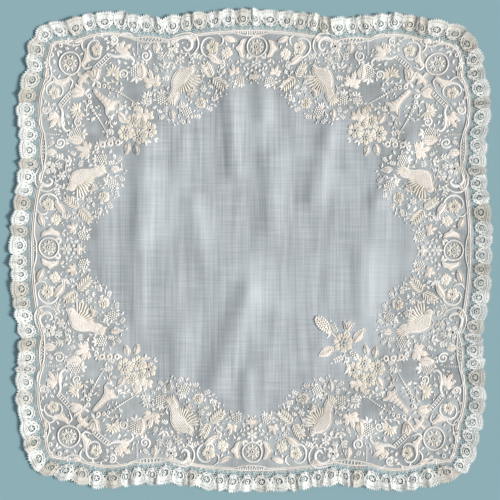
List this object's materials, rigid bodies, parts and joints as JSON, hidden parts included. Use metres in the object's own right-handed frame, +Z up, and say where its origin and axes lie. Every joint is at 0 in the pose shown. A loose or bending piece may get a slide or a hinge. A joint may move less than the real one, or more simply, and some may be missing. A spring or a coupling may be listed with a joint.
{
  "type": "embroidered handkerchief",
  "caption": "Fine linen handkerchief laid out flat, with a scalloped corded edge, raised white floral embroidery and gathered lace all round.",
  "frame": {"origin": "middle of the underside, on the surface the handkerchief lies on", "axes": "+Z up out of the right side of the cloth, +Y towards its top edge, +X to the right"},
  "size_m": [0.4194, 0.4198, 0.004],
  "materials": {
    "sheer_linen": "fine sheer plain weave with white satin stitch embroidery",
    "white_thread": "fine off-white cotton thread, as lace on net and as raised embroidery"
  },
  "bodies": {
    "root": {"linen_square": "sheer_linen", "lace_edging": "white_thread"}
  },
  "joints": []
}
